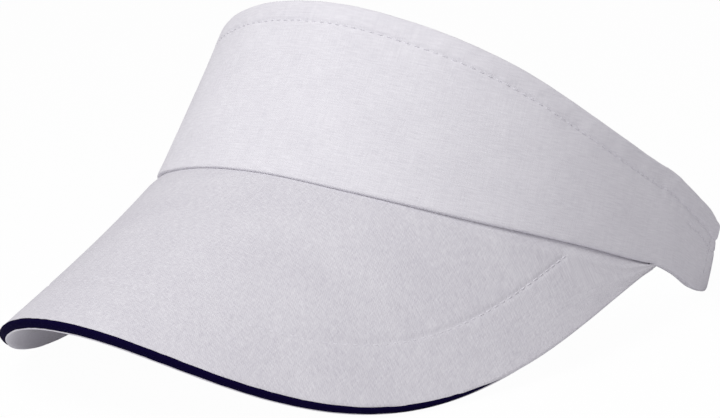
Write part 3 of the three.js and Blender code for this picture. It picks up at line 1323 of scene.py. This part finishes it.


# One length of webbing from inside the band's end to its tip. The places either side of the CAD
# hinge are found, but nothing bends the strap there.
def makeStrap(name, side, replaced):
    form = strap
    ends = sorted((math.radians(form["start"]) * side, math.radians(form["tip"]) * side))
    middle = form["low"] + form["width"] / 2
    core = form["depth"] + form["thickness"] / 2
    turn = evenPlaces(lambda t: bandAt(t, middle, form["depth"]), *ends, form["columns"])
    crowd = form["crowd"] * np.array([0.02, 0.1, 0.3])
    turn = np.sort(np.concatenate([turn, ends[0] + crowd, ends[1] - crowd]))
    fromTip = (math.radians(form["tip"]) - np.abs(turn)) * form["lengthPerTurn"]
    corner = form["tipCorner"]
    within = np.clip(corner - fromTip, 0, corner * form["tipShare"])
    trim = corner - np.sqrt(corner**2 - within**2)
    share = np.linspace(0, 1, form["rows"])[:, None]
    low = form["low"] + trim
    high = form["low"] + form["width"] - trim
    rise = low[None, :] + (high - low)[None, :] * share
    place = turn[None, :] + 0 * rise
    along = bandLength(turn)
    fromSide = np.minimum(share, 1 - share) * form["width"]
    depth = strapDepth(place, side) - 0.1 * np.exp(-((fromSide / form["selvedge"]) ** 2))
    ribs = np.sin(along[None, :] * 2 * math.pi / form["ribPitch"])
    depth = depth + 0.05 * ribs * (fromSide > 1.0)
    points = bandAt(place, rise, depth)
    cloth = np.stack([rise, along[None, :] + 0 * rise], axis=-1)
    piece = clothPiece(
        name, points, cloth, form["thickness"], strapWebbing, None, replaced, 0.3
    )
    hingeTurn = (bandEnd + form["hinge"] / np.linalg.norm(bandEdge(bandEnd))) * side
    hinge = bandAt(hingeTurn, middle, core)
    ahead = unit(bandAt(hingeTurn + 0.02 * side, middle, core) - hinge)
    start = inFrame(hinge - ahead * form["bendBefore"])
    end = inFrame(hinge + ahead * form["bendAfter"])
    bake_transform(piece)
    return piece


makeStrap("hook_strap_webbing", -1, ["hook_strap", "hook_strap_root"])
makeStrap("loop_strap_webbing", 1, ["loop_strap", "loop_strap_root"])

hookPatch = {
    "side": -1,
    "depth": 4.6,
    "backing": 0.5,
    "columns": 70,
    "rows": 20,
    "spacing": 1.25,
    "height": 0.72,
    "radius": 0.09,
}
loopPatch = {
    "side": 1,
    "depth": 5.8,
    "backing": 0.5,
    "columns": 70,
    "rows": 20,
    "count": 1100,
    "height": 0.5,
    "radius": 0.06,
}


def patchGrid(form, surface, facing):
    start, end = sorted(math.radians(strap[k]) * form["side"] for k in ("patchStart", "patchEnd"))
    turn = np.linspace(start, end, form["columns"])
    low = strap["low"] + strap["patchInset"]
    high = strap["low"] + strap["width"] - strap["patchInset"]
    rise = np.linspace(low, high, form["rows"])[:, None] + 0 * turn[None, :]
    place = turn[None, :] + 0 * rise
    random = np.random.default_rng(81 + form["side"])
    rough = random.uniform(-0.04, 0.04, rise.shape)
    points = bandAt(place, rise, surface + rough)
    cloth = np.stack([bandLength(place), rise], axis=-1)
    if facing < 0:
        points, cloth = points[:, ::-1], cloth[:, ::-1]
    return points, cloth


# The parts of a small shape that lie in the tape's face, turned to its own two directions.
def turned(shape, side, across):
    return side[:, None] * shape[None, :, :1] + across[:, None] * shape[None, :, 1:2]


def makeHookPatch():
    form = hookPatch
    base = form["depth"] + form["backing"]
    points, cloth = patchGrid(form, base, -1)
    clothPiece(
        "hook_tape_patch", points, cloth, form["backing"] - 0.05, hookTape, "hook_end",
        ["hook_patch"], 0.12,
    )
    places, faces = rodShape(4, 6)
    reach = places[:, 0] + 0.5
    curl = np.clip((reach - 0.45) / 0.55, 0, 1) * math.radians(200)
    bend = 0.19
    stem = np.minimum(reach / 0.45, 1) * (form["height"] - bend)
    centre = np.stack([bend * (1 - np.cos(curl)), 0 * curl, stem + bend * np.sin(curl)], axis=-1)
    ahead = np.stack([np.cos(curl), 0 * curl, -np.sin(curl)], axis=-1)
    thick = form["radius"] * (1 - 0.3 * reach)
    shape = centre + ahead * (places[:, 1] * thick)[:, None]
    shape[:, 1] += places[:, 2] * thick
    apart = form["spacing"] / 1.75
    turns = np.radians(np.arange(strap["patchStart"] + 0.7, strap["patchEnd"] - 0.5, apart))
    rises = np.arange(strap["low"] + 2.4, strap["low"] + strap["width"] - 2.2, form["spacing"])
    turn, rise = (x.ravel() for x in np.meshgrid(turns * form["side"], rises))
    random = np.random.default_rng(83)
    turn = turn + random.uniform(-0.002, 0.002, turn.shape)
    rise = rise + random.uniform(-0.12, 0.12, rise.shape)
    spot = bandAt(turn, rise, base - 0.04 + 0 * turn)
    inward = unit(bandAt(turn, rise, base + 1 + 0 * turn) - spot)
    up = bandUp(turn)
    face = np.where(np.arange(len(turn)) % 2 == 0, 1.0, -1.0)[:, None]
    side = unit(np.cross(inward, up)) * face
    across = np.cross(inward, side)
    copies = spot[:, None] + turned(shape, side, across) + inward[:, None] * shape[None, :, 2:]
    copiesPiece("tape_hooks", copies, faces, hookTape, "hook_end")


def makeLoopPatch():
    form = loopPatch
    base = form["depth"] + 0.4
    points, cloth = patchGrid(form, base, 1)
    clothPiece(
        "loop_tape_patch", points, cloth, form["backing"] - 0.05, loopTape, "loop_end",
        ["loop_patch"], 0.12,
    )
    places, faces = rodShape(3, 6)
    arch = (places[:, 0] + 0.5) * math.pi
    height = form["height"] * np.sin(arch)
    centre = np.stack([-0.42 * np.cos(arch), 0.1 * np.sin(2 * arch), height], axis=-1)
    ahead = np.stack([np.cos(arch), 0 * arch, np.sin(arch)], axis=-1)
    shape = centre - ahead * (places[:, 1] * form["radius"])[:, None]
    shape[:, 1] += places[:, 2] * form["radius"]
    random = np.random.default_rng(87)
    start, end = strap["patchStart"] + 0.6, strap["patchEnd"] - 0.6
    turn = np.radians(random.uniform(start, end, form["count"]))
    low, high = strap["low"] + 1.6, strap["low"] + strap["width"] - 1.6
    rise = random.uniform(low, high, form["count"])
    spot = bandAt(turn, rise, base + 0.05 + 0 * turn)
    outward = unit(bandAt(turn, rise, base - 1 + 0 * turn) - spot)
    up = bandUp(turn)
    level = unit(np.cross(outward, up))
    heading = random.uniform(0, 2 * math.pi, form["count"])[:, None]
    side = level * np.cos(heading) + np.cross(outward, level) * np.sin(heading)
    across = np.cross(outward, side)
    tall = random.uniform(0.6, 1.0, form["count"])[:, None, None]
    copies = spot[:, None] + turned(shape, side, across)
    copies = copies + outward[:, None] * shape[None, :, 2:] * tall
    copiesPiece("tape_loops", copies, faces, loopTape, "loop_end")


makeHookPatch()
makeLoopPatch()


# The rows that hold each patch on, seen on the other face of its strap.
def patchRow(name, side, depth, facing, body):
    start = math.radians(strap["patchStart"] + 1.0) * side
    end = math.radians(strap["patchEnd"] - 1.0) * side
    low = strap["low"] + 2.6
    high = strap["low"] + strap["width"] - 2.6
    lines = []
    for rise in (low, high):
        lines.append(bandLine(np.linspace(start, end, 120), rise, depth, facing))
    for turn in (start, end):
        lines.append(bandLine(turn, np.linspace(low + 1.6, high - 1.6, 30), depth, facing))
    stitchRow(name, lines, body)


patchRow("hook_patch_stitches", -1, strap["depth"] - 0.02, 1, "hook_end")
patchRow("loop_patch_stitches", 1, strap["innerDepth"] + strap["thickness"] + 0.02, -1, "loop_end")
rootLines = []
for side in (-1, 1):
    for place in (bandCloth["boxStart"] + 0.5, bandCloth["boxEnd"]):
        row = upright(place * side, *strap["rootRow"])
        rootLines.append(bandLine(*row, strap["depth"] + strap["thickness"] + 0.02, -1))
stitchRow("strap_root_stitches", rootLines)
print("straps made")

# Two CAD nodes stay, each with its own finish.
carriedOver = {
    "band_stiffener": (buckram, "buckram"),
    "peak_board": (boardPlastic, "board_plastic"),
}
for nodeName, (finish, slotName) in carriedOver.items():
    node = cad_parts[nodeName]
    node.data.materials.clear()
    node.data.materials.append(finish)

# The camera, the light and the floor.
studio = {
    "cameraAim": (-19.416, -21.496, 33.2),
    "cameraDistance": 668.034,
    "cameraAzimuth": 41.548,
    "cameraHeight": 10.818,
    "cameraRoll": -2.874,
    "lens": 97.371,
    "sky": 0.4,
    "skyColour": (0.99, 0.958, 1, 1),
    "keyPower": 7.3,
    "keySize": 0.7,
    "keyAzimuth": 9.0,
    "keyHeight": 55.0,
    "keyDistance": 1.1,
    "keyAim": 0.05,
    "floorGlow": 0.975,
}


def directionOf(azimuth, height):
    a, e = math.radians(azimuth), math.radians(height)
    return Vector((math.sin(a) * math.cos(e), -math.cos(a) * math.cos(e), math.sin(e)))


def makeCamera():
    back = directionOf(studio["cameraAzimuth"], studio["cameraHeight"])
    azimuth = math.radians(studio["cameraAzimuth"])
    right = Vector((math.cos(azimuth), math.sin(azimuth), 0))
    up = back.cross(right)
    roll = math.radians(studio["cameraRoll"])
    side = math.cos(roll) * right + math.sin(roll) * up
    top = math.cos(roll) * up - math.sin(roll) * right
    data = bpy.data.cameras.new("camera")
    data.lens = studio["lens"]
    data.sensor_width = 36
    data.clip_start = 0.01
    camera = bpy.data.objects.new("camera", data)
    bpy.context.scene.collection.objects.link(camera)
    spot = Vector(inFrame(studio["cameraAim"])) + back * studio["cameraDistance"] / 1000
    turned = Matrix((side, top, back)).transposed().to_4x4()
    camera.matrix_world = Matrix.Translation(spot) @ turned
    bpy.context.scene.camera = camera


def makeKeyLight():
    data = bpy.data.lights.new("keyLight", "AREA")
    data.shape = "DISK"
    data.size = studio["keySize"]
    data.energy = studio["keyPower"]
    lamp = bpy.data.objects.new("keyLight", data)
    bpy.context.scene.collection.objects.link(lamp)
    towards = directionOf(studio["keyAzimuth"], studio["keyHeight"])
    lamp.location = towards * studio["keyDistance"] + Vector((0, 0, studio["keyAim"]))
    lamp.rotation_mode = "QUATERNION"
    lamp.rotation_quaternion = towards.to_track_quat("Z", "Y")


def makeFloor():
    startPiece()
    bpy.ops.mesh.primitive_plane_add(size=40)
    floor = bpy.context.object
    floor.name = "floor"
    paper = Finish("floorPaper", specular=0.1)
    place = paper.node("ShaderNodeTexCoord", {}, {}, "Object")
    grain = paper.noise(place, (900.0, 900.0, 900.0))
    paper.connect("Base Color", paper.blended(grain, tint(236, 236, 238), tint(240, 240, 242)))
    paper.shader.inputs["Roughness"].default_value = 0.95
    glow = paper.node("ShaderNodeEmission", {}, {"Color": (1, 1, 1, 1), "Strength": 1.0})
    seen = paper.node("ShaderNodeLightPath", {}, {}, "Is Camera Ray")
    lit = Socket(paper, paper.shader.outputs[0])
    both = paper.node("ShaderNodeMixShader", {}, {0: seen * studio["floorGlow"], 1: lit, 2: glow})
    paper.tree.links.new(both.output, paper.tree.nodes["Material Output"].inputs["Surface"])
    floor.data.materials.append(paper.material)


makeCamera()
makeFloor()
makeKeyLight()
world = bpy.data.worlds.new("studio")
world.use_nodes = True
world.node_tree.nodes["Background"].inputs["Color"].default_value = studio["skyColour"]
world.node_tree.nodes["Background"].inputs["Strength"].default_value = studio["sky"]
bpy.context.scene.world = world
bpy.context.scene.view_settings.view_transform = "Standard"
bpy.context.scene.view_settings.look = "None"
print("studio ready")
